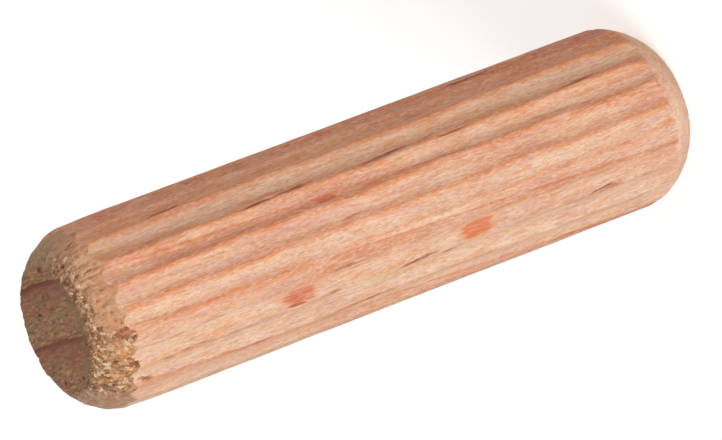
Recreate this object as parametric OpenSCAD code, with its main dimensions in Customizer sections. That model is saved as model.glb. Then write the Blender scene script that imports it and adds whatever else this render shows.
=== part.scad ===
// Fluted dowel pin for joining wood: one straight beech rod with hollow flutes all round it,
// sawn square at both ends, and with a crowned chamfer that leads each end into its hole.
// The pin stands on its lower end face, centred on the origin, with +Z along its axis.

/* [Pin] */
// Diameter over the ridges between the flutes
pin_d = 8; // [6:0.5:16]
// Length from end face to end face
pin_l = 30; // [20:1:80]

/* [Flutes] */
// Number of flutes round the pin
flute_n = 24; // [12:1:30]
// Depth of each hollow flute under a straightedge laid across its two ridges
flute_depth = 0.14; // [0.08:0.02:0.2]
// Width of the ridge that is left between two flutes
ridge_w = 0.16; // [0.1:0.02:0.3]

/* [Ends] */
// Length of each chamfer along the pin
chamfer_l = 1.9; // [1:0.1:3]
// Depth of each chamfer in from the ridges, at the end face
chamfer_w = 1.3; // [1:0.1:2]
// Rise of the chamfer's crown above a straight cone
chamfer_crown = 0.22; // [0.04:0.02:0.3]

/* [Hidden] */

crest_r = pin_d / 2;
face_r = crest_r - chamfer_w;

// Each flute is one round hollow. Its circle runs through the edges of the ridges on both sides,
// and stays under a half circle, so that no ridge is undercut.
deepest_share = 0.8;
pitch_angle = 360 / flute_n;
ridge_angle = 2 * asin(ridge_w / (2 * crest_r));
edge_angle = (pitch_angle - ridge_angle) / 2;
half_span = crest_r * sin(edge_angle);
hollow_depth = min(flute_depth, deepest_share * half_span);
hollow_r = (pow(half_span, 2) + pow(hollow_depth, 2)) / (2 * hollow_depth);
hollow_centre = crest_r * cos(edge_angle) - hollow_depth + hollow_r;

// The crown is an arc through the edge of the end face and the end of the chamfer.
chord = norm([chamfer_w, chamfer_l]);
crown_r = (pow(chord / 2, 2) + pow(chamfer_crown, 2)) / (2 * chamfer_crown);
crown_centre = [face_r + chamfer_w / 2, chamfer_l / 2]
    + (crown_r - chamfer_crown) / chord * [-chamfer_l, chamfer_w];

// How far the cutting shapes reach past the pin, and past the end of the chamfer
reach = 1;
run_out = 0.1;

hollow_facets = 48;
round_facets = 96;
crown_facets = 40;

// Cross-section of the fluted rod
module fluted_section() {
    difference() {
        circle(r = crest_r, $fn = round_facets);
        for (i = [0 : flute_n - 1])
            rotate((i + 0.5) * pitch_angle)
                translate([hollow_centre, 0])
                    circle(r = hollow_r, $fn = hollow_facets);
    }
}

// What the lower chamfer takes off, as a half section with the radius along X
module chamfer_cut() {
    difference() {
        translate([face_r - reach / 2, -reach])
            square([chamfer_w + 2 * reach, reach + chamfer_l + run_out]);
        translate(crown_centre)
            circle(r = crown_r, $fn = crown_facets);
    }
}

// Half section of the turned form that both ends are cut to
module turned_form() {
    difference() {
        square([crest_r + reach, pin_l]);
        chamfer_cut();
        translate([0, pin_l])
            mirror([0, 1])
                chamfer_cut();
    }
}

module dowel() {
    color("burlywood")
        intersection() {
            translate([0, 0, -reach])
                linear_extrude(pin_l + 2 * reach)
                    fluted_section();
            rotate_extrude($fn = round_facets)
                turned_form();
        }
}

dowel();
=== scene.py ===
"""Dresses the fluted dowel pin: a dense wooden mesh in place of the plain solid, its beech material, and a
plain white table under soft light, seen as the photograph sees it."""

import math

import bpy
import numpy as np
from mathutils import Matrix, Vector


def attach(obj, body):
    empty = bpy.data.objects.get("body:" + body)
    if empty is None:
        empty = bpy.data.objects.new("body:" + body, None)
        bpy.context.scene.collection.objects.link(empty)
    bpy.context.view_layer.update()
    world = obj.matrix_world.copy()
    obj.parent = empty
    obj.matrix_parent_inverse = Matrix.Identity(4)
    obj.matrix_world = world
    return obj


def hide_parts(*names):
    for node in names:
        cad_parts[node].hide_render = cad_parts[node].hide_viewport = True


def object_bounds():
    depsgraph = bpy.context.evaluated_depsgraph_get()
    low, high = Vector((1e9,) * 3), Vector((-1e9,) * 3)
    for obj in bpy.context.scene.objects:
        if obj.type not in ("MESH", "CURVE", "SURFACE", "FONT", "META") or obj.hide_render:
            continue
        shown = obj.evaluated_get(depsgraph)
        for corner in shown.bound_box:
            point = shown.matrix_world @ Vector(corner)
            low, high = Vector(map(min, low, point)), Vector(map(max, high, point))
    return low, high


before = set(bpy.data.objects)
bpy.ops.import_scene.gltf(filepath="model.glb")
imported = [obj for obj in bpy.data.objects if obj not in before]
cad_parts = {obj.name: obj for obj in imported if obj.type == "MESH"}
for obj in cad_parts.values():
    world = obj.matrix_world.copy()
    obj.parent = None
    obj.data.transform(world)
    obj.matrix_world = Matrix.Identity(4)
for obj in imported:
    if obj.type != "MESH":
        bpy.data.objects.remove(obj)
cad_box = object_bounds()

MM = 0.001
PIN_L = (cad_box[1].z - cad_box[0].z) / MM
RIDGE_R = (cad_box[1].x - cad_box[0].x) / 2 / MM

# ---------------------------------------------------------------- the camera
PHOTO_W, PHOTO_H = 722, 440
PIN_CENTRE_PX = (361.4, 215.3)      # where the middle of the pin lies in the picture
PX_PER_MM = 23.93                   # at the middle of the pin
CAMERA_DISTANCE = 0.279             # metres
CAMERA_ELEVATION = math.radians(27.06)
CAMERA_AZIMUTH = math.radians(-89)  # looks almost straight at a ridge
AXIS_IN_PICTURE = math.radians(180 + 20.77)  # the upper end points down to the left
SENSOR_W = 36.0

# ---------------------------------------------------------------- the light
# Lamps: name, degrees round the pin from the camera, degrees above the table, distance and size in metres,
# watts, colour
LAMPS = (
    ("key", -37, 20, 0.8, 0.4, 3.9, (0.97, 1.0, 1.04)),
    ("warm_fill", 55, 35, 0.8, 0.5, 0.85, (1.0, 0.45, 0.18)),
)
SKY_STRENGTH = 0.44                 # of the light that the white surroundings give
FLOOR_HALF = 3.0                    # metres
FLOOR_GREY = 0.80                   # share of the light that the table throws back
FLOOR_GLOW = 0.58                   # brings what is seen of it up to white

# ---------------------------------------------------------------- the pin's sizes, in millimetres
FLUTES = 24
FLUTE_DEPTH = 0.19                  # below the circle of the ridges, in the middle of a flute
RIDGE_ROUND = 0.25                  # share of half a flute over which a ridge is worn round
CHAMFER_L = 1.9
CHAMFER_W = 1.3
CHAMFER_CROWN = 0.22

PITCH = 2 * math.pi / FLUTES
FACE_R = RIDGE_R - CHAMFER_W

# ---------------------------------------------------------------- the pin's front
# On the front, angles run from -90 degrees at the picture's upper outline to 90 at its lower one, and places
# along the pin are millimetres from the upper end face.
FRONT_SIDE = math.radians(-88.4)    # the middle of the front, where its angles are 0
FRONT = Vector((math.cos(FRONT_SIDE), math.sin(FRONT_SIDE), 0))
LOWER = Vector((math.sin(FRONT_SIDE), -math.cos(FRONT_SIDE), 0))     # towards the lower outline
FRONT_END, BACK_END = 95, 190       # past the seen ridges, and past the middle of the back
CHAMFER_START = -0.4                # how far outside an end face the chamfer's arc is followed
MARK_CORE = 1.5                     # makes the middle of a mark flat

SEEN_RIDGES = range(-5, 6)
FIRST_RIDGE = 1.6                   # angle of the ridge next to the middle
# How far each seen ridge stands off even spacing, and the depth of the flute before each and after the last
RIDGE_SHIFTS = (-2.6, -2.6, -3.6, 0.4, 0.9, 1.4, 0.4, -3.6, -4.6, -3.1, 0.4)
FLUTE_SHARES = (0.9, 0.9, 1.0, 1.0, 1.0, 0.85, 0.75, 0.65, 0.85, 0.9, 0.9, 0.9)
UNSEEN_SHARES = (0.75, 1.05)        # between which the other flutes' depths lie
UNSEEN_SEED = 13

# Noises: how strong, how long along the pin, how many cells round it, seed
RIDGE_WANDER = ((1.2, 5.5, 12, 11), (1.0, 1.7, 24, 12), (0.5, 0.6, 48, 15))     # in degrees
FLUTE_SWING = (0.12, 5.0, FLUTES, 14)                                           # share of a flute's depth
FIBRE_RELIEF = ((0.008, 6.0, 60, 21), (0.007, 1.5, 150, 22), (0.006, 0.7, 288, 23))
TORN_RAG = ((0.05, 0.5, 70, 31), (0.03, 0.25, 160, 32))
CLEAN_RAG = ((0.015, 0.6, 90, 33),)

# Bundles of fibres in the cross-section: width, how they slant for each millimetre along the pin, seed
FINE_BUNDLES = (0.13, 0.4, 41)
COARSE_BUNDLES = (0.30, 0.3, 42)
BUNDLE_CELLS = 64
BUNDLE_SHIFT = 40                   # places the pin in their pattern
SAWN_BUNDLES = ((0.02, 0.16, 51), (0.02, 0.5, 52))      # on an end face: depth, width, seed
SAWN_LOW_SHARE = 0.3                # share of that depth on the lower end face

# Where the torn chamfer is rough, and where the flutes' painted shade and the ridges' painted glow lie. Pairs
# are the values at which something starts and is full: angles, or shares of the way across a flute.
EVEN_ROUGH = 0.6                    # roughness that the torn chamfer has all round, up to 1
CRUMBLY_ROUGH = 0.4                 # added where it crumbles most
CRUMBLY_START, CRUMBLY_END = (8, 30), (72, 64)
CRUMBLY_SLANT = 20                  # degrees by which that ends sooner for each millimetre along the pin,
CRUMBLY_SLANT_FROM, CRUMBLY_SLANT_L = 0.8, 0.6      # from so far along it, and for so long
OUTLINE_SMOOTH = 0.25               # how much less rough the chamfer is near both outlines
UPPER_SMOOTH, LOWER_SMOOTH = (-54, -66), (64, 74)
LOWER_TEAR_START, LOWER_TEAR_END = (58, 70), (100, 88)
TOOTH_EVEN, TOOTH_BROKEN = 0.6, 0.6  # how much of a tooth is even, and how much follows the fine bundles
SHADED_SIDE, SHADED_END = (0.6, 0.95), (30, 5)      # the flutes' shaded side, where warm shade is painted, and the last that have one
CREST_BEFORE, CREST_AFTER = (0.78, 0.96), (0.24, 0.02)      # a ridge's two sides, where a warm glow is painted
CREST_BEFORE_SHARE = 0.7            # how strong the first is beside the second

# Wear and damage, in millimetres
WORN_RIDGE = (17.0, 5.0, 0.09)      # its angle, its half width in degrees, how far it is worn down
WORN_FROM, WORN_FULLY = 8.0, 12.0   # where along the pin its wear starts, and where it is full
CREST_LOSS = 0.06                   # off the ridges next to the upper chamfer
CREST_LOSS_FROM, CREST_LOSS_FULLY = 3.4, 1.6
DASH_DEPTH = 0.04
DASH_LEAN = -0.8                    # degrees for each millimetre along the pin
TORN_SHORT = 0.04                   # how much nearer the end the torn chamfer starts than the clean one
TORN_ZONE = 3.2                     # nothing past here is torn
TORN_FADE = (-0.02, 0.03)           # how deep below the shank tearing starts, and is full
FINE_TEAR = 0.09
COARSE_TEAR = 0.05
HOLE_DEPTH = 0.08
CHIP_RISE = 0.03
TOOTH_DEPTH = 0.04
TOOTH_REACH = 0.10                  # how deep into the shank a tooth still shows as torn
LOWER_REACH = 0.10                  # the same, all along the lower outline
PIT_DEPTH = 0.04

# Marks on the front: place along the pin, angle, half length, half height in degrees, strength
DARK_DASHES = (
    (9.1, -29.3, 1.0, 1.1, 1.0), (10.9, -30.4, 0.8, 1.3, 0.55), (15.3, -30.5, 1.1, 1.3, 0.95),
    (17.4, -32.0, 0.5, 1.0, 0.35), (18.6, -28.8, 0.7, 1.1, 0.8), (25.0, -31.2, 1.2, 1.4, 0.65),
    (4.1, -31.4, 0.8, 1.1, 0.3), (5.3, -51.0, 0.8, 1.5, 1.1), (11.7, 26.8, 0.7, 1.1, 0.55),
    (14.8, 41.6, 0.5, 1.3, 0.85), (15.6, 40.4, 0.4, 1.1, 0.7), (11.0, 40.6, 0.5, 1.1, 0.5),
    (24.9, 40.8, 1.0, 1.4, 0.5), (3.9, 41.6, 1.2, 1.1, 0.3), (17.0, 41.8, 0.6, 1.3, 0.4),
    (21.6, -76.5, 1.2, 2.6, 1.2), (17.3, 78.0, 0.6, 2.4, 1.1), (23.1, 76.0, 0.6, 1.4, 0.35),
    (11.5, 81.0, 0.6, 2.0, 0.6), (25.0, -16.2, 0.4, 1.0, 0.25), (12.6, -1.0, 0.6, 0.8, 0.35),
    (9.2, 40.0, 0.6, 1.0, 0.4), (7.6, 59.0, 1.4, 1.0, 0.4), (12.4, 58.4, 1.8, 1.1, 0.45),
    (1.75, 52.8, 0.16, 0.8, 0.8), (1.95, 54.0, 0.16, 0.9, 0.85), (2.17, 55.2, 0.14, 0.8, 0.85),
    (6.2, -34.5, 0.5, 1.0, 0.2),
)
RED_FLECKS = (
    (9.4, 35.0, 0.72, 6.0, 1.1), (18.2, 34.6, 0.72, 5.8, 1.3), (19.2, 34.0, 0.4, 4.2, 0.4),
    (9.4, 35.0, 1.15, 7.0, 0.35), (18.3, 34.6, 1.15, 6.6, 0.35), (7.1, 34.0, 0.3, 4.5, 0.5),
    (11.8, -17.0, 0.5, 2.0, 1.3), (13.8, -17.5, 0.8, 1.2, 0.5),
    (21.6, 22.0, 0.25, 1.0, 0.9), (22.8, 22.3, 0.3, 1.0, 0.8), (28.2, 13.6, 0.35, 1.3, 0.8),
    (2.6, -25.0, 0.4, 1.2, 0.6), (5.4, 17.0, 0.8, 1.0, 0.6), (28.1, -5.5, 0.4, 1.2, 0.5),
    (5.9, 17.4, 0.4, 1.4, 0.5), (14.6, 21.0, 1.6, 1.4, 0.4), (2.5, -4.0, 0.5, 4.0, 0.3),
)
TORN_HOLES = (
    (0.42, -4.5, 0.04, 2.8, 1.0), (0.47, 10.0, 0.10, 1.3, 1.0), (1.00, 2.5, 0.06, 1.6, 0.7),
    (1.22, 10.0, 0.05, 1.1, 0.7), (1.38, 14.0, 0.11, 1.4, 0.8), (1.10, 20.0, 0.08, 1.0, 0.8),
    (1.62, 21.5, 0.10, 1.4, 0.9), (0.10, 25.0, 0.06, 1.6, 1.0), (0.42, 36.5, 0.07, 1.0, 0.9),
    (0.22, 38.5, 0.05, 1.1, 0.9), (0.80, 36.5, 0.11, 1.2, 0.9), (1.30, 35.0, 0.11, 0.9, 0.8),
    (1.57, 39.5, 0.08, 1.6, 0.9), (0.55, 51.0, 0.08, 1.4, 0.9), (1.27, 47.5, 0.06, 1.0, 0.9),
    (0.55, 61.0, 0.11, 1.4, 1.0), (0.75, 57.5, 0.05, 1.6, 0.9), (0.85, 53.0, 0.08, 1.0, 0.9),
    (0.40, -47.5, 0.06, 1.8, 1.0), (0.95, -30.0, 0.15, 0.9, 0.7),
    (1.35, -42.0, 0.06, 0.9, 0.6), (0.33, -13.0, 0.05, 1.3, 0.8), (0.30, -24.0, 0.05, 1.1, 0.7),
    (1.00, -14.0, 0.06, 0.9, 0.6), (1.05, -57.0, 0.22, 1.0, 0.6), (1.50, -63.0, 0.12, 1.6, 0.6),
    (0.20, -36.0, 0.12, 5.0, 0.8), (0.55, -33.0, 0.06, 1.6, 0.8), (0.16, -20.0, 0.08, 3.0, 0.9),
    (0.15, -2.0, 0.07, 4.0, 0.8), (0.45, -40.0, 0.07, 1.6, 0.7),
)
PALE_CHIPS = (
    (1.38, 1.0, 0.08, 1.9, 0.7), (1.60, 15.5, 0.08, 1.0, 0.8), (1.80, 22.0, 0.05, 1.9, 0.8),
    (0.27, 25.0, 0.08, 2.2, 0.6), (0.50, 14.0, 0.07, 1.0, 0.7), (0.45, 38.5, 0.08, 1.0, 0.9),
    (0.45, 41.5, 0.08, 1.0, 0.8), (0.38, 47.5, 0.06, 1.9, 0.9), (1.10, 50.0, 0.07, 1.9, 0.5),
    (0.60, 57.0, 0.07, 1.9, 0.9), (0.85, 45.0, 0.09, 1.1, 0.8), (1.35, 30.0, 0.15, 1.1, 0.5),
    (0.38, -25.5, 0.08, 1.9, 1.0), (0.30, -17.5, 0.07, 1.9, 0.8), (0.38, -51.5, 0.07, 1.4, 0.8),
    (0.60, -50.0, 0.08, 1.4, 0.7), (1.60, -42.0, 0.17, 2.1, 0.5), (1.40, -22.0, 0.08, 1.6, 0.6),
    (1.35, -15.5, 0.08, 1.0, 0.6), (0.30, -9.0, 0.06, 1.6, 0.7), (0.25, 8.0, 0.10, 3.0, 0.8),
    (0.30, 16.0, 0.08, 2.0, 0.7), (0.35, 66.0, 0.10, 2.0, 0.7), (0.30, -31.0, 0.05, 1.2, 0.9),
)
TORN_TEETH = (
    (1.50, 20.5, 0.25, 3.8, 1.0), (1.48, 38.5, 0.26, 3.6, 1.0), (1.35, 52.0, 0.20, 3.0, 0.5),
    (1.05, 17.0, 0.45, 3.6, 0.8), (1.20, 35.5, 0.25, 2.0, 0.5),
)

# Marks on the upper face, in millimetres: place towards the lower outline, place towards the front, half size
# each way, strength
FACE_PITS = (
    (-0.85, -0.95, 0.06, 0.16, 1.0), (-0.75, -0.60, 0.05, 0.14, 0.5), (2.15, -0.90, 0.07, 0.10, 1.0),
    (2.20, 0.90, 0.07, 0.12, 0.9), (2.45, 1.05, 0.05, 0.10, 0.8), (-2.55, 0.60, 0.14, 0.20, 0.7),
    (0.95, 2.35, 0.12, 0.08, 0.7), (-1.50, 0.10, 0.05, 0.20, 0.4), (2.05, 1.55, 0.05, 0.12, 0.6),
)
FACE_CHIPS = (
    (-0.30, 0.95, 0.07, 0.14, 1.0), (1.25, 0.20, 0.05, 0.28, 0.8), (0.35, 1.10, 0.06, 0.14, 0.7),
    (0.05, -0.60, 0.08, 0.20, 0.6), (-2.20, 0.35, 0.10, 0.25, 0.6), (1.75, -0.30, 0.06, 0.16, 0.5),
)

# ---------------------------------------------------------------- the wood
RING_SPACING = 2.5                  # between growth rings
RING_PLACE = -2.14                  # of one ring's edge, across the upper face
RING_DRIFT = 0.035                  # how far a ring leans for each millimetre along the pin
RING_BEND = 0.015                   # how a ring curves, about a line RING_BACK behind the axis
RING_BACK = 1.5
RING_WAVE = 0.2                     # how far a ring wanders
BUMP_HEIGHT = 0.03
BUMP_STRENGTH = 0.4
SHEEN = 0.3
ROUGHNESS = (0.62, 0.82)            # between which it lies, from pale fibres to dark ones

# Bands of another tone along the front: the angles at which each starts, is full, is no longer full and ends,
# two heights above the lower end, its strength at each, and its tone. A band that ends past 90 runs on to the
# outline.
FLANK_BANDS = (
    (18, 34, 90, 91, 6, 22, 0.2, 0.45, (234, 202, 166)),
    (-47, -40, -37, -32, 28.2, 26.0, 0, 0.45, (255, 226, 192)),
    # painted shade: this band paints warm shade on the shaded side above the ridge at -47 degrees
    (-61, -57, -53, -48, 6, 18, 0.07, 0.35, (236, 160, 96)),
    (2, 6, 15, 21, 0, 1, 0.4, 0.4, (246, 216, 184)),
    (-54, -48, -38, -34, 27.2, 28.0, 0, 0.45, (255, 216, 160)),
    (-42, -36, -30, -25, 26.4, 27.6, 0, 0.45, (240, 168, 104)),
    (-30, -24, -23, -18, 0, 1, 0.4, 0.4, (232, 158, 112)),
    (-23, -19, -17, -13, 15, 9, 0, 0.45, (255, 222, 192)),
    (56, 66, 90, 91, 15, 24, 0, 0.4, (234, 206, 176)),
)

# ---------------------------------------------------------------- how finely the mesh is cut
COLUMNS = 24 * FLUTES
FACE_RINGS = {"top": 20, "bottom": 10}
RIM_CROWDING = 0.6                  # draws the rings of a face towards its rim
CHAMFER_RINGS = {"top": 38, "bottom": 20}
CHAMFER_ZONE = 2.1                  # reaches a little past the chamfer
SHANK_RINGS = 82
HAIR = 1e-6                         # how near to an end face a point counts as on it


# ================================================================ noise
def lattice_noise(turn, along, cells, seed):
    """Smooth noise from -1 to 1. turn is the share of a whole turn, along is counted in cells."""
    rows = 256
    lattice = np.random.default_rng(seed).uniform(-1, 1, (rows, cells))
    u, v = np.mod(turn, 1) * cells, along + rows / 2
    i, j = np.floor(u).astype(int), np.floor(v).astype(int)
    fu, fv = u - i, v - j
    fu, fv = fu * fu * (3 - 2 * fu), fv * fv * (3 - 2 * fv)
    i0, i1, j0, j1 = i % cells, (i + 1) % cells, j % rows, (j + 1) % rows
    low = lattice[j0, i0] * (1 - fu) + lattice[j0, i1] * fu
    high = lattice[j1, i0] * (1 - fu) + lattice[j1, i1] * fu
    return low * (1 - fv) + high * fv


def swing(turn, z, strength, length, cells, seed):
    """One of the listed noises, from -strength to strength."""
    return strength * lattice_noise(turn, z / length, cells, seed)


def relief(turn, z, noises):
    """The sum of listed noises, each raised so that it is never below 0."""
    return sum(noise[0] + swing(turn, z, *noise) for noise in noises)


def bundle_value(x, y, size, seed):
    """A steady random value from 0 to 1 for each bundle of fibres that the cross-section is packed with."""
    x, y = x + BUNDLE_SHIFT, y + BUNDLE_SHIFT
    rng = np.random.default_rng(seed)
    jitter = rng.uniform(0, 1, (BUNDLE_CELLS, BUNDLE_CELLS, 2))
    value = rng.uniform(0, 1, (BUNDLE_CELLS, BUNDLE_CELLS))
    cx, cy = np.floor(x / size).astype(int), np.floor(y / size).astype(int)
    nearest, found = np.full(x.shape, np.inf), np.zeros(x.shape)
    for di in (-1, 0, 1):
        for dj in (-1, 0, 1):
            i, j = (cx + di) % BUNDLE_CELLS, (cy + dj) % BUNDLE_CELLS
            px = (cx + di + jitter[i, j, 0]) * size
            py = (cy + dj + jitter[i, j, 1]) * size
            distance = np.hypot(x - px, y - py)
            closer = distance < nearest
            nearest = np.where(closer, distance, nearest)
            found = np.where(closer, value[i, j], found)
    return found


def smooth_step(low, high, value):
    t = np.clip((value - low) / (high - low), 0, 1)
    return t * t * (3 - 2 * t)


# ================================================================ the pin's form
def front_angle(angle):
    """A direction round the axis as an angle on the pin's front, in degrees from -180 to 180."""
    return np.degrees(np.mod(FRONT_SIDE - angle + math.pi, 2 * math.pi) - math.pi)


def flute_profile(front, z, turn):
    """How far the flutes are cut in, how near a point is to a ridge, and how far across its flute it lies."""
    pitch = math.degrees(PITCH)
    even = [FIRST_RIDGE + k * pitch for k in SEEN_RIDGES]
    stands = [place + shift for place, shift in zip(even, RIDGE_SHIFTS)]
    before, after = [-BACK_END, -FRONT_END], [FRONT_END, BACK_END]
    wander = sum(swing(turn, z, *noise) for noise in RIDGE_WANDER)
    evened = np.interp(front + wander, before + stands + after, before + even + after)
    count = (evened - FIRST_RIDGE) / pitch
    flute = np.floor(count).astype(int)
    share = np.random.default_rng(UNSEEN_SEED).uniform(*UNSEEN_SHARES, FLUTES)
    first = SEEN_RIDGES[0] - 1
    for k, seen_share in enumerate(FLUTE_SHARES):
        share[(first + k) % FLUTES] = seen_share
    middle = (flute % FLUTES + 0.5) / FLUTES
    depth = FLUTE_DEPTH * share[flute % FLUTES] * (1 + swing(middle, z, *FLUTE_SWING))
    off_ridge = 2 * np.abs(count - np.round(count))
    rounded = np.hypot(off_ridge, RIDGE_ROUND) - RIDGE_ROUND
    rounded /= math.hypot(1, RIDGE_ROUND) - RIDGE_ROUND
    return depth * (1 - (1 - rounded)**2), 1 - off_ridge, count - flute


def chamfer_radius(inward):
    """Radius that the crowned chamfer leaves, at a distance inward from its end face."""
    chord = math.hypot(CHAMFER_W, CHAMFER_L)
    crown_r = (chord**2 / 4 + CHAMFER_CROWN**2) / (2 * CHAMFER_CROWN)
    drop = (crown_r - CHAMFER_CROWN) / chord
    centre_r = FACE_R + CHAMFER_W / 2 - drop * CHAMFER_L
    centre_z = CHAMFER_L / 2 + drop * CHAMFER_W
    end_slope = (CHAMFER_L - centre_z) / math.sqrt(crown_r**2 - (CHAMFER_L - centre_z)**2)
    inside = np.clip(inward, CHAMFER_START, CHAMFER_L)
    past = np.maximum(inward - CHAMFER_L, 0)
    return centre_r + np.sqrt(crown_r**2 - (inside - centre_z)**2) - end_slope * past


def marks_on_front(front, top, places, lean=0.0, power=2):
    """How strongly each point lies in one of the listed marks. A higher power makes their corners squarer."""
    mark = np.zeros(front.shape)
    for place, angle, half_length, half_height, strength in places:
        along = (top - place) / half_length
        across = (front - angle - lean * (top - place)) / half_height
        off = np.abs(along)**power + np.abs(across)**power
        mark = np.maximum(mark, strength * np.clip(MARK_CORE - off, 0, 1))
    return mark


def marks_on_face(px, py, places):
    """How strongly each point of the upper face lies in one of the listed marks."""
    across, towards = px * LOWER.x + py * LOWER.y, px * FRONT.x + py * FRONT.y
    mark = np.zeros(px.shape)
    for place_across, place_towards, half_across, half_towards, strength in places:
        off = ((across - place_across) / half_across)**2 + ((towards - place_towards) / half_towards)**2
        mark = np.maximum(mark, strength * np.clip(MARK_CORE - off, 0, 1))
    return mark


def fluted_shank(front, top, z, turn):
    """Radius of the fluted shank with its wear, and the marks on it that the material shows."""
    cut, ridge, across = flute_profile(front, z, turn)
    worn_angle, worn_width, worn_depth = WORN_RIDGE
    wear_and_shade = worn_depth * np.exp(-((front - worn_angle) / worn_width)**2)
    wear_and_shade *= smooth_step(WORN_FROM, WORN_FULLY, top)
    crest_loss = CREST_LOSS * np.clip(ridge, 0, 1)**2 * smooth_step(CREST_LOSS_FROM, CREST_LOSS_FULLY, top)
    dash = marks_on_front(front, top, DARK_DASHES, DASH_LEAN)
    radius = RIDGE_R - cut - relief(turn, z, FIBRE_RELIEF) - wear_and_shade - crest_loss - DASH_DEPTH * dash
    painted_flute_shade = smooth_step(*SHADED_SIDE, across) * smooth_step(*SHADED_END, front)
    painted_ridge_glow = CREST_BEFORE_SHARE * smooth_step(*CREST_BEFORE, across)
    painted_ridge_glow = np.maximum(painted_ridge_glow, smooth_step(*CREST_AFTER, across))
    fleck = marks_on_front(front, top, RED_FLECKS, power=4)
    return radius, {"ridge": ridge, "painted_flute_shade": painted_flute_shade, "painted_ridge_glow": painted_ridge_glow, "dash": dash, "fleck": fleck}


def torn_chamfer(shank, front, top, z, turn):
    """Radius of the shank once the torn chamfer is off, and the marks there that the material shows."""
    angle = turn * 2 * math.pi
    ragged = sum(swing(turn, z, *noise) for noise in TORN_RAG)
    cut = chamfer_radius(top - ragged + TORN_SHORT)
    px, py = cut * np.cos(angle), cut * np.sin(angle)
    fine, coarse = [bundle_value(px, py + slant * top, size, seed)
                    for size, slant, seed in (FINE_BUNDLES, COARSE_BUNDLES)]
    sooner = CRUMBLY_SLANT * np.clip(top - CRUMBLY_SLANT_FROM, 0, CRUMBLY_SLANT_L)
    crumbly = smooth_step(*CRUMBLY_START, front) * smooth_step(*CRUMBLY_END, front + sooner)
    rough = EVEN_ROUGH + CRUMBLY_ROUGH * crumbly
    rough -= OUTLINE_SMOOTH * (smooth_step(*UPPER_SMOOTH, front) + smooth_step(*LOWER_SMOOTH, front))
    hole = marks_on_front(front, top, TORN_HOLES)
    chip = marks_on_front(front, top, PALE_CHIPS, power=4)
    tooth = marks_on_front(front, top, TORN_TEETH) * (TOOTH_EVEN + TOOTH_BROKEN * fine)
    lower_tear = smooth_step(*LOWER_TEAR_START, front) * smooth_step(*LOWER_TEAR_END, front)
    reach = TOOTH_REACH * tooth + LOWER_REACH * lower_tear
    torn_edge = np.where(top > TORN_ZONE, -1.0, shank - cut + reach)
    tear = rough * (FINE_TEAR * fine**2 + COARSE_TEAR * coarse)
    tear += HOLE_DEPTH * hole - CHIP_RISE * chip + TOOTH_DEPTH * tooth
    radius = np.minimum(shank, cut - np.maximum(tear, 0) * smooth_step(*TORN_FADE, torn_edge))
    inward = np.clip((RIDGE_R - cut) / CHAMFER_W, 0, 1)
    return radius, {"torn_edge": torn_edge, "rough": rough, "inward": inward, "hole": hole, "chip": chip,
                    "tooth": tooth}


def ring_table():
    """Every ring from the top centre to the bottom centre: its height, and its share of the face's radius."""
    n = FACE_RINGS["top"]
    top_face = [(PIN_L, ((k + 1) / n) ** RIM_CROWDING) for k in range(n)]
    step = CHAMFER_ZONE / CHAMFER_RINGS["top"]
    top_chamfer = [(PIN_L - (k + 1) * step, 1.0) for k in range(CHAMFER_RINGS["top"])]
    step = (PIN_L - 2 * CHAMFER_ZONE) / SHANK_RINGS
    shank = [(PIN_L - CHAMFER_ZONE - (k + 1) * step, 1.0) for k in range(SHANK_RINGS)]
    step = CHAMFER_ZONE / CHAMFER_RINGS["bottom"]
    low_chamfer = [(CHAMFER_ZONE - (k + 1) * step, 1.0) for k in range(CHAMFER_RINGS["bottom"])]
    n = FACE_RINGS["bottom"]
    low_face = [(0.0, ((n - k - 1) / n) ** RIM_CROWDING) for k in range(n - 1)]
    return top_face + top_chamfer + shank + low_chamfer + low_face


def pin_surface():
    """Points and surface marks of the whole pin, as arrays of rings by columns, in millimetres."""
    rings = np.array(ring_table())
    turn = np.repeat(np.arange(COLUMNS)[None, :] / COLUMNS, len(rings), 0)
    z, share = np.repeat(rings[:, :1], COLUMNS, 1), np.repeat(rings[:, 1:], COLUMNS, 1)
    angle = turn * 2 * math.pi
    front = front_angle(angle)
    top, bottom = PIN_L - z, z

    shank, marks = fluted_shank(front, top, z, turn)
    radius, torn_marks = torn_chamfer(shank, front, top, z, turn)
    marks.update(torn_marks)
    radius = np.minimum(radius, chamfer_radius(bottom - relief(turn, z, CLEAN_RAG)))

    # the end faces: sawn end grain
    on_top, on_low = z >= PIN_L - HAIR, z <= HAIR
    rim_top, rim_low = radius[FACE_RINGS["top"] - 1], radius[-FACE_RINGS["bottom"]]
    radius = np.where(on_top, share * rim_top, np.where(on_low, share * rim_low, radius))
    within_low = np.where(on_low, rim_low - radius, -np.minimum(top, bottom))
    marks["within_rim"] = np.where(on_top, rim_top - radius, within_low)
    px, py = radius * np.cos(angle), radius * np.sin(angle)
    sunk = sum(depth * bundle_value(px, py, size, seed) for depth, size, seed in SAWN_BUNDLES)
    marks["hole"] = np.where(on_top, marks_on_face(px, py, FACE_PITS), marks["hole"])
    marks["chip"] = np.where(on_top, marks_on_face(px, py, FACE_CHIPS), marks["chip"])
    pitted = PIN_L - sunk - PIT_DEPTH * marks["hole"]
    height = np.where(on_top, pitted, np.where(on_low, SAWN_LOW_SHARE * sunk, z))
    return px, py, height, marks


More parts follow.
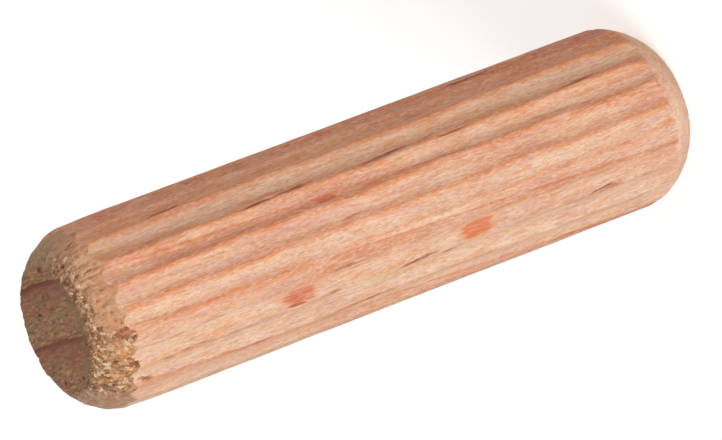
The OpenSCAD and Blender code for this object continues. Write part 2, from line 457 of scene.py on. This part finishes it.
def make_pin():
    px, py, height, marks = pin_surface()
    rings, columns = px.shape
    points = np.stack([px, py, height], -1).reshape(-1, 3)
    top_centre = [0, 0, float(height[0].mean())]
    low_centre = [0, 0, float(height[-1].mean())]
    points = np.vstack([points, top_centre, low_centre]) * MM
    index = np.arange(rings * columns).reshape(rings, columns)
    right = np.roll(index, -1, axis=1)
    quads = np.stack([index[:-1], index[1:], right[1:], right[:-1]], -1).reshape(-1, 4)
    top = [(rings * columns, int(a), int(b)) for a, b in zip(index[0], right[0])]
    low = [(rings * columns + 1, int(b), int(a)) for a, b in zip(index[-1], right[-1])]
    mesh = bpy.data.meshes.new("beech_dowel")
    mesh.from_pydata(points.tolist(), [], quads.tolist() + top + low)
    for name, values in marks.items():
        layer = mesh.attributes.new(name, "FLOAT", "POINT")
        centre_value = [float(values[0].mean()), float(values[-1].mean())]
        layer.data.foreach_set("value", np.concatenate([values.ravel(), centre_value]).astype(np.float32))
    mesh.shade_smooth()
    pin = bpy.data.objects.new("beech_dowel", mesh)
    bpy.context.collection.objects.link(pin)
    return pin


# ================================================================ materials
def srgb(red, green, blue):
    """A colour as a screen shows it, 0 to 255, as Blender's linear colour."""
    def linear(c):
        c /= 255
        return c / 12.92 if c <= 0.04045 else ((c + 0.055) / 1.055) ** 2.4
    return (linear(red), linear(green), linear(blue), 1.0)


class Graph:
    """Short ways to add the shader nodes that the materials are made of."""

    def __init__(self, name):
        self.material = bpy.data.materials.new(name)
        self.material.use_nodes = True
        self.tree = self.material.node_tree
        self.tree.nodes.clear()

    def node(self, kind, inputs=(), **settings):
        made = self.tree.nodes.new(kind)
        for key, value in settings.items():
            setattr(made, key, value)
        for key, value in dict(inputs).items():
            if isinstance(value, bpy.types.NodeSocket):
                self.tree.links.new(value, made.inputs[key])
            else:
                made.inputs[key].default_value = value
        return made

    def maths(self, operation, a, b=0.5, c=0.5):
        return self.node("ShaderNodeMath", {0: a, 1: b, 2: c}, operation=operation).outputs[0]

    def plus(self, a, b):
        return self.maths("ADD", a, b)

    def times(self, *values):
        made = values[0]
        for value in values[1:]:
            made = self.maths("MULTIPLY", made, value)
        return made

    def scaled(self, value, factor, added):
        """value * factor + added"""
        return self.maths("MULTIPLY_ADD", value, factor, added)

    def mark(self, name):
        return self.node("ShaderNodeAttribute", attribute_name=name).outputs["Fac"]

    def along(self, vector, direction):
        n = self.node("ShaderNodeVectorMath", {0: vector, 1: direction}, operation="DOT_PRODUCT")
        return n.outputs["Value"]

    def stretch(self, vector, scale, shift=(0, 0, 0)):
        n = self.node("ShaderNodeMapping", {"Vector": vector, "Scale": scale, "Location": shift})
        return n.outputs[0]

    def noise(self, vector, detail=2.0, rough=0.5):
        n = self.node("ShaderNodeTexNoise", {"Vector": vector, "Scale": 1.0, "Detail": detail,
                                             "Roughness": rough})
        return n.outputs["Fac"]

    def grain(self, place, across, along, shift=(0, 0, 0), detail=2.0, rough=0.5):
        """Noise with so many cells to a millimetre across the pin and along it."""
        return self.noise(self.stretch(place, (across, across, along), shift), detail, rough)

    def cells(self, vector):
        """Two random values for each cell of a broken-up pattern, whose cells are about one unit wide."""
        n = self.node("ShaderNodeTexVoronoi", {"Vector": vector, "Scale": 1.0})
        parts = self.node("ShaderNodeSeparateColor", {0: n.outputs["Color"]})
        return parts.outputs[0], parts.outputs[1]

    def step(self, value, low, high, start=0.0, end=1.0):
        n = self.node("ShaderNodeMapRange", {"Value": value, "From Min": low, "From Max": high,
                                             "To Min": start, "To Max": end}, interpolation_type="SMOOTHSTEP")
        return n.outputs[0]

    def window(self, value, starts, full, until, ends):
        """1 while value is between full and until, and 0 before it starts and after it ends."""
        return self.times(self.step(value, starts, full), self.step(value, ends, until))

    def mix(self, share, a, b, blend="MIX"):
        n = self.node("ShaderNodeMix", {0: share, 6: a, 7: b}, data_type="RGBA", blend_type=blend,
                      clamp_factor=True)
        return n.outputs[2]

    def shade(self, colour, share, *factors):
        """Multiplies a colour by factors for red, green and blue, as far as share goes."""
        return self.mix(share, colour, (*factors, 1), "MULTIPLY")

    def tints(self, colour, *rows, amount=None):
        """Draws a colour towards each row's tone, up to its strength as its value goes from low to high."""
        for value, low, high, strength, tone in rows:
            share = self.step(value, low, high, 0, strength)
            if amount is not None:
                share = self.times(amount, share)
            colour = self.mix(share, colour, srgb(*tone))
        return colour

    def ramp(self, value, *stops):
        n = self.node("ShaderNodeValToRGB", {"Fac": value})
        elements = n.color_ramp.elements
        while len(elements) < len(stops):
            elements.new(0.5)
        for element, (place, tone) in zip(elements, stops):
            element.position, element.color = place, srgb(*tone)
        return n.outputs["Color"]


def ring_phase(g, place):
    """Share of the way from one growth ring's edge to the next, for every point of the wood."""
    depth = g.plus(g.along(place, FRONT), RING_BACK)
    bend = g.times(depth, depth, -RING_BEND)
    lean = g.along(place, (0, 0, RING_DRIFT))
    wave = g.scaled(g.grain(place, 0.5, 0.08), RING_WAVE, -RING_WAVE / 2)
    across = g.plus(g.along(place, LOWER), g.plus(bend, g.plus(lean, wave)))
    start = -RING_PLACE - RING_DRIFT * PIN_L
    return g.maths("FRACT", g.maths("DIVIDE", g.plus(across, start), RING_SPACING))


def front_degrees(g, place):
    """The angle on the pin's front, as front_angle gives it. The back mirrors the front, so no seam shows."""
    nearer = g.maths("ABSOLUTE", g.along(place, FRONT))
    return g.times(g.maths("ARCTAN2", g.along(place, LOWER), nearer), 180 / math.pi)


def long_grain(g, place, phase):
    """Colour of the flutes and ridges, where the fibres run along the surface."""
    zone = g.grain(place, 0.7, 0.14, (4, 8, 6))
    patch = g.grain(place, 1.5, 0.28, (3, 5, 2), 3)
    tint = g.grain(place, 2.6, 0.55, (9, 2, 7), 3, 0.6)
    streak = g.grain(place, 4.5, 0.6, (7, 3, 1))
    fibre = g.grain(place, 14, 1.6, (1, 8, 5))
    pore = g.grain(place, 13, 1.1, (4, 7, 9))
    mottle = g.grain(place, 2.6, 1.6, (6, 4, 3), 3, 0.65)
    blush = g.grain(place, 2.2, 1.3, (1, 9, 4), 3, 0.6)
    value, hue = g.cells(g.stretch(place, (9, 9, 1.6), (2, 6, 3)))
    fine_value = g.cells(g.stretch(place, (24, 24, 5), (8, 1, 6)))[0]
    side = front_degrees(g, place)
    height = g.along(place, (0, 0, 1))

    colour = g.ramp(patch, (0.34, (226, 160, 130)), (0.50, (238, 185, 152)), (0.66, (248, 212, 180)))
    colour = g.tints(
        colour,
        (zone, 0.52, 0.70, 0.5, (230, 164, 144)),
        (zone, 0.48, 0.30, 0.5, (242, 194, 148)))
    for starts, full, until, ends, low, high, low_strength, high_strength, tone in FLANK_BANDS:
        strength = g.step(height, low, high, low_strength, high_strength)
        colour = g.mix(g.times(g.window(side, starts, full, until, ends), strength), colour, srgb(*tone))
    upper_far = g.times(g.step(side, -57, -66), g.step(height, 17, 7))
    colour = g.shade(colour, upper_far, 0.90, 0.76, 0.80)
    colour = g.tints(
        colour,
        (mottle, 0.51, 0.64, 0.75, (208, 116, 96)),
        (mottle, 0.49, 0.36, 0.75, (228, 184, 130)),
        (blush, 0.50, 0.62, 0.6, (204, 154, 138)),
        amount=g.step(side, -56, -64))
    colour = g.tints(
        colour,
        (tint, 0.52, 0.66, 0.6, (238, 168, 116)),
        (tint, 0.47, 0.33, 0.55, (224, 176, 162)))
    late = g.times(g.step(phase, 0.0, 0.03), g.step(phase, 0.34, 0.02))
    colour = g.mix(g.times(late, 0.5), colour, srgb(222, 142, 100))
    line = g.window(phase, 0.0, 0.015, 0.03, 0.07)
    colour = g.mix(g.times(line, 0.5), colour, srgb(218, 122, 72))
    # painted shade: the shaded side of each flute is drawn a darker, warmer orange, as warm shade
    painted_flute_shade = g.times(g.mark("painted_flute_shade"), g.step(streak, 0.35, 0.55, 0.5, 1.0), g.step(side, -48, -60, 0.5, 0.9))
    colour = g.mix(painted_flute_shade, colour, srgb(226, 138, 84))
    # painted light: a warm orange glow on both sides of each ridge, where its lit side meets its shade
    painted_ridge_glow = g.times(g.mark("painted_ridge_glow"), g.window(side, -64, -50, 4, 34), g.step(streak, 0.35, 0.55, 0.45, 0.75))
    colour = g.mix(painted_ridge_glow, colour, srgb(242, 154, 92))

    colour = g.tints(
        colour,
        (streak, 0.53, 0.70, 0.26, (216, 148, 112)),
        (streak, 0.46, 0.30, 0.26, (252, 222, 192)),
        (hue, 0.70, 0.90, 0.20, (244, 176, 122)),
        (hue, 0.30, 0.10, 0.20, (226, 172, 168)),
        (value, 0.75, 0.95, 0.12, (255, 234, 208)),
        (value, 0.25, 0.08, 0.12, (196, 132, 98)),
        (fine_value, 0.60, 0.95, 0.28, (255, 236, 214)),
        (fine_value, 0.40, 0.05, 0.27, (186, 122, 90)),
        (fibre, 0.54, 0.74, 0.14, (206, 140, 104)),
        (fibre, 0.46, 0.28, 0.14, (253, 226, 200)),
        (pore, 0.62, 0.72, 0.38, (172, 108, 76)))

    # painted shade along the ridges from 16 degrees towards the lower outline, red flecks of ray and dark
    # dashes of torn fibre
    # painted shade: the ridges are drawn darker, as thin shaded lines; the geometric wear is separate
    wear_and_shade = g.times(g.step(g.mark("ridge"), 0.75, 0.97), g.step(streak, 0.35, 0.6, 0.3, 1.0))
    wear_and_shade = g.times(wear_and_shade, g.step(side, 16, 28), 0.35)
    colour = g.mix(wear_and_shade, colour, srgb(180, 120, 84))
    ragged = g.plus(g.times(fibre, 0.9), g.scaled(value, 0.4, -0.65))
    fleck = g.scaled(ragged, g.step(g.mark("fleck"), 0.0, 0.3, 0, 1.2), g.mark("fleck"))
    colour = g.mix(g.step(fleck, 0.0, 0.9, 0, 0.45), colour, srgb(238, 150, 110))
    core = g.mix(g.step(height, 17, 14), srgb(210, 108, 78), srgb(222, 120, 72))
    core_share = g.times(g.step(fleck, 0.5, 1.3, 0, 0.85), g.step(fibre, 0.35, 0.6, 0.65, 1.0))
    colour = g.mix(core_share, colour, core)
    broken = g.plus(ragged, g.scaled(fibre, 1.6, -0.8))
    dash = g.scaled(broken, g.step(g.mark("dash"), 0.0, 0.3), g.mark("dash"))
    colour = g.tints(colour, (dash, 0.05, 0.6, 0.6, (178, 106, 70)), (dash, 0.5, 1.1, 0.7, (134, 74, 50)))
    # painted shade: darker towards the lower outline, where the lamps reach the pin less
    colour = g.shade(colour, g.step(side, 70, 86, 0, 0.7), 0.74, 0.72, 0.70)
    return colour, streak, fibre


def torn_end(g, place):
    """Colour of the torn chamfer: crumbs of fibre, pale and dark, most of them round the end face."""
    rough, inward = g.mark("rough"), g.mark("inward")
    shake = g.node("ShaderNodeTexNoise", {"Vector": place, "Scale": 6.0, "Detail": 2.0}).outputs["Color"]
    shaken = g.node("ShaderNodeVectorMath", {0: shake, 1: (0.08,) * 3, 2: place}, operation="MULTIPLY_ADD")
    crumb, hue = g.cells(g.stretch(shaken.outputs[0], (7, 7, 5), (4, 4, 4)))
    grit = g.cells(g.stretch(shaken.outputs[0], (16, 16, 13), (2, 4, 1)))[0]
    soft = g.grain(place, 3.5, 3.0, (1, 5, 2), 3, 0.65)
    side = g.scaled(front_degrees(g, place), 1 / 180, 0.5)
    side = g.plus(side, g.scaled(soft, 0.16, -0.08))
    colour = g.ramp(
        side,
        (0.12, (190, 168, 138)), (0.21, (212, 164, 130)), (0.27, (240, 198, 158)), (0.42, (216, 158, 116)),
        (0.54, (226, 170, 124)), (0.59, (192, 124, 88)), (0.65, (204, 144, 92)), (0.80, (186, 124, 70)),
        (0.85, (154, 102, 78)), (0.91, (176, 134, 110)))
    colour = g.tints(
        colour,
        (soft, 0.50, 0.64, 0.55, (190, 126, 92)),
        (soft, 0.48, 0.34, 0.5, (204, 180, 148)))
    outer = g.times(g.window(side, 0.26, 0.31, 0.53, 0.59), g.window(inward, 0.04, 0.12, 0.25, 0.45))
    colour = g.shade(colour, outer, 0.87, 0.86, 0.84)
    inner = g.times(g.step(rough, 0.3, 0.6, 0.3, 0.64), g.step(inward, 0.25, 0.9))
    colour = g.mix(inner, colour, srgb(114, 84, 62))
    tooth = g.step(g.scaled(crumb, 0.6, g.mark("tooth")), 0.4, 1.1)
    colour = g.mix(g.times(tooth, 0.8), colour, srgb(178, 104, 74))
    colour = g.tints(colour, (hue, 0.6, 0.9, 0.4, (214, 150, 80)), amount=rough)
    amount = g.times(g.step(rough, 0.3, 0.6, 0.5, 0.9), g.step(inward, 0.25, 0.8, 0.4, 1.0))
    amount = g.maths("MAXIMUM", amount, g.step(rough, 0.6, 1.0, 0, 0.8))
    amount = g.maths("MAXIMUM", amount, g.step(g.mark("tooth"), 0.1, 0.6, 0, 0.75))
    colour = g.tints(
        colour,
        (crumb, 0.36, 0.16, 0.75, (116, 72, 46)),
        (crumb, 0.72, 0.90, 0.80, (250, 218, 174)),
        (grit, 0.30, 0.10, 0.35, (126, 78, 50)),
        (grit, 0.75, 0.92, 0.50, (252, 222, 180)),
        amount=amount)
    ragged = g.scaled(grit, 1.1, g.scaled(crumb, 0.5, -0.8))
    chip, hole = g.plus(g.mark("chip"), ragged), g.plus(g.mark("hole"), ragged)
    # painted shade: the holes, cut only a little into the torn chamfer, are drawn dark as the shade inside
    # them
    colour = g.tints(colour, (chip, 0.3, 1.0, 0.75, (250, 222, 184)), (hole, 0.3, 0.9, 0.8, (92, 50, 34)))
    return colour, crumb, soft


def end_grain(g, place, phase):
    """Colour of the sawn end grain, streaked along the growth rings."""
    flat = g.node("ShaderNodeCombineXYZ", {0: g.along(place, LOWER), 1: g.along(place, FRONT)}).outputs[0]
    patch = g.noise(g.stretch(flat, (1.5, 0.4, 1), (5, 2, 0)), 3, 0.6)
    streak = g.noise(g.stretch(flat, (6, 0.9, 1), (1, 3, 0)), 3, 0.7)
    grit, hue = g.cells(g.stretch(flat, (12, 2.6, 1)))
    colour = g.ramp(patch, (0.36, (153, 122, 86)), (0.50, (162, 118, 86)), (0.64, (164, 108, 84)))
    colour = g.tints(
        colour,
        (streak, 0.52, 0.70, 0.75, (118, 78, 60)),
        (streak, 0.48, 0.30, 0.75, (206, 162, 114)),
        (hue, 0.30, 0.05, 0.45, (152, 138, 98)),
        (grit, 0.30, 0.05, 0.55, (104, 66, 52)),
        (grit, 0.75, 0.98, 0.50, (216, 172, 126)))
    late = g.window(phase, 0.0, 0.02, 0.05, 0.55)
    colour = g.mix(g.times(late, 0.6), colour, srgb(138, 82, 68))
    line = g.window(phase, 0.0, 0.02, 0.05, 0.13)
    strength = g.step(g.along(place, LOWER), -1.0, 1.5, 0.85, 0.55)
    colour = g.mix(g.times(line, strength), colour, srgb(116, 54, 44))
    near_rim = g.times(g.step(g.mark("within_rim"), 0.8, 0.1), g.step(g.along(place, FRONT), 0.5, 2.0))
    colour = g.mix(g.times(near_rim, 0.4), colour, srgb(124, 110, 84))
    ragged = g.scaled(grit, 0.5, -0.25)
    pit, chip = g.plus(g.mark("hole"), ragged), g.plus(g.mark("chip"), ragged)
    return g.tints(colour, (pit, 0.1, 0.7, 0.85, (94, 40, 30)), (chip, 0.2, 0.9, 0.6, (220, 178, 130)))


def beech():
    g = Graph("beech_wood")
    place = g.stretch(g.node("ShaderNodeTexCoord").outputs["Object"], (1 / MM,) * 3)   # in millimetres
    phase = ring_phase(g, place)
    colour, streak, fibre = long_grain(g, place, phase)
    torn_colour, crumb, soft = torn_end(g, place)
    ragged = g.plus(g.times(crumb, 0.03), g.scaled(soft, 0.07, -0.05))
    torn = g.step(g.plus(g.mark("torn_edge"), ragged), -0.02, 0.02)
    fading = g.maths("MAXIMUM", g.step(g.along(place, LOWER), -0.6, 0.6), g.step(g.mark("inward"), 0.05, 0.5))
    torn = g.times(torn, g.scaled(fading, 0.3, 0.7))
    colour = g.mix(torn, colour, torn_colour)
    # painted light: the lower chamfer is drawn paler than the flank, to make up for the shade that the table
    # casts near it
    low_colour = g.mix(g.step(soft, 0.30, 0.70), srgb(255, 232, 206), srgb(246, 196, 162))
    low_colour = g.tints(low_colour, (fibre, 0.50, 0.65, 0.35, (228, 162, 124)))
    low_colour = g.shade(low_colour, g.step(front_degrees(g, place), 20, 45), 0.86, 0.82, 0.85)
    height = g.plus(g.along(place, (0, 0, 1)), g.scaled(soft, 0.5, -0.25))
    colour = g.mix(g.step(height, 1.60, 1.25, 0, 0.85), colour, low_colour)
    crumbled = g.plus(g.times(crumb, 0.30), g.scaled(soft, 0.9, -0.60))
    face = g.step(g.scaled(crumbled, g.mark("rough"), g.mark("within_rim")), -0.04, 0.04)
    colour = g.mix(face, colour, end_grain(g, place, phase))

    bump_height = g.plus(g.times(fibre, 0.5), g.times(streak, 0.5))
    bump = g.node("ShaderNodeBump", {"Height": bump_height, "Strength": BUMP_STRENGTH,
                                     "Distance": BUMP_HEIGHT * MM})
    shader = g.node("ShaderNodeBsdfPrincipled", {"Base Color": colour, "Normal": bump.outputs[0],
                                                 "Roughness": g.step(fibre, 0.3, 0.7, *ROUGHNESS),
                                                 "Specular IOR Level": SHEEN})
    g.node("ShaderNodeOutputMaterial", {"Surface": shader.outputs[0]})
    return g.material


def seen_directly(tree):
    """1 for what the camera sees directly or in a gloss, 0 for the light that the surroundings give."""
    path = tree.nodes.new("ShaderNodeLightPath")
    either = tree.nodes.new("ShaderNodeMath")
    either.operation = "MAXIMUM"
    tree.links.new(path.outputs["Is Camera Ray"], either.inputs[0])
    tree.links.new(path.outputs["Is Glossy Ray"], either.inputs[1])
    return either.outputs[0]


def white_floor():
    """A white table. What is seen of it glows a little, so that it is white and still holds a soft shadow."""
    g = Graph("white_table")
    diffuse = g.node("ShaderNodeBsdfDiffuse", {"Color": (FLOOR_GREY, FLOOR_GREY, FLOOR_GREY, 1)})
    glow = g.node("ShaderNodeEmission", {"Strength": g.times(seen_directly(g.tree), FLOOR_GLOW)})
    both = g.node("ShaderNodeAddShader", {0: diffuse.outputs[0], 1: glow.outputs[0]})
    g.node("ShaderNodeOutputMaterial", {"Surface": both.outputs[0]})
    return g.material


# ================================================================ the stage
def make_floor():
    half = FLOOR_HALF
    corners = [(-half, -half, 0), (half, -half, 0), (half, half, 0), (-half, half, 0)]
    mesh = bpy.data.meshes.new("table")
    mesh.from_pydata(corners, [], [(0, 1, 2, 3)])
    mesh.materials.append(white_floor())
    floor = bpy.data.objects.new("table", mesh)
    bpy.context.collection.objects.link(floor)


def toward(azimuth, elevation):
    """Unit vector from the pin towards a direction."""
    level = math.cos(elevation)
    return Vector((math.cos(azimuth) * level, math.sin(azimuth) * level, math.sin(elevation)))


def make_camera():
    back = toward(CAMERA_AZIMUTH, CAMERA_ELEVATION)
    level_right = Vector((-math.sin(CAMERA_AZIMUTH), math.cos(CAMERA_AZIMUTH), 0))
    level_up = back.cross(level_right)
    roll = AXIS_IN_PICTURE - math.pi / 2          # turns the picture so that the axis lies as it should
    right = level_right * math.cos(roll) - level_up * math.sin(roll)
    up = level_right * math.sin(roll) + level_up * math.cos(roll)
    camera_data = bpy.data.cameras.new("camera")
    camera_data.sensor_width = SENSOR_W
    camera_data.lens = PX_PER_MM / MM * CAMERA_DISTANCE * SENSOR_W / PHOTO_W
    camera = bpy.data.objects.new("camera", camera_data)
    bpy.context.collection.objects.link(camera)
    off_x = (PIN_CENTRE_PX[0] - PHOTO_W / 2) / PX_PER_MM * MM
    off_y = (PHOTO_H / 2 - PIN_CENTRE_PX[1]) / PX_PER_MM * MM
    middle = (cad_box[0] + cad_box[1]) / 2
    place = middle + back * CAMERA_DISTANCE - right * off_x - up * off_y
    camera.matrix_world = Matrix.Translation(place) @ Matrix((right, up, back)).transposed().to_4x4()
    bpy.context.scene.camera = camera


def make_lamp(name, round_from_camera, elevation, distance, size, watts, colour):
    data = bpy.data.lights.new(name, "AREA")
    data.shape, data.size, data.energy, data.color = "DISK", size, watts, colour
    lamp = bpy.data.objects.new(name, data)
    direction = toward(CAMERA_AZIMUTH + math.radians(round_from_camera), math.radians(elevation))
    lamp.location = direction * distance + Vector((0, 0, PIN_L / 2 * MM))
    lamp.rotation_mode = "QUATERNION"
    lamp.rotation_quaternion = direction.to_track_quat("Z", "Y")
    bpy.context.collection.objects.link(lamp)


def make_world():
    """White surroundings, which light the pin less strongly than they are seen."""
    world = bpy.data.worlds.new("studio")
    world.use_nodes = True
    tree = world.node_tree
    tree.nodes.clear()
    strength = tree.nodes.new("ShaderNodeMix")
    strength.inputs[2].default_value = SKY_STRENGTH
    strength.inputs[3].default_value = 1.0
    tree.links.new(seen_directly(tree), strength.inputs[0])
    ground = tree.nodes.new("ShaderNodeBackground")
    tree.links.new(strength.outputs[0], ground.inputs["Strength"])
    out = tree.nodes.new("ShaderNodeOutputWorld")
    tree.links.new(ground.outputs[0], out.inputs["Surface"])
    bpy.context.scene.world = world


pin = make_pin()
pin.data.materials.append(beech())
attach(pin, "root")
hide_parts("dowel")

make_floor()
make_camera()
make_world()
for lamp_settings in LAMPS:
    make_lamp(*lamp_settings)
bpy.context.scene.view_settings.view_transform = "Standard"
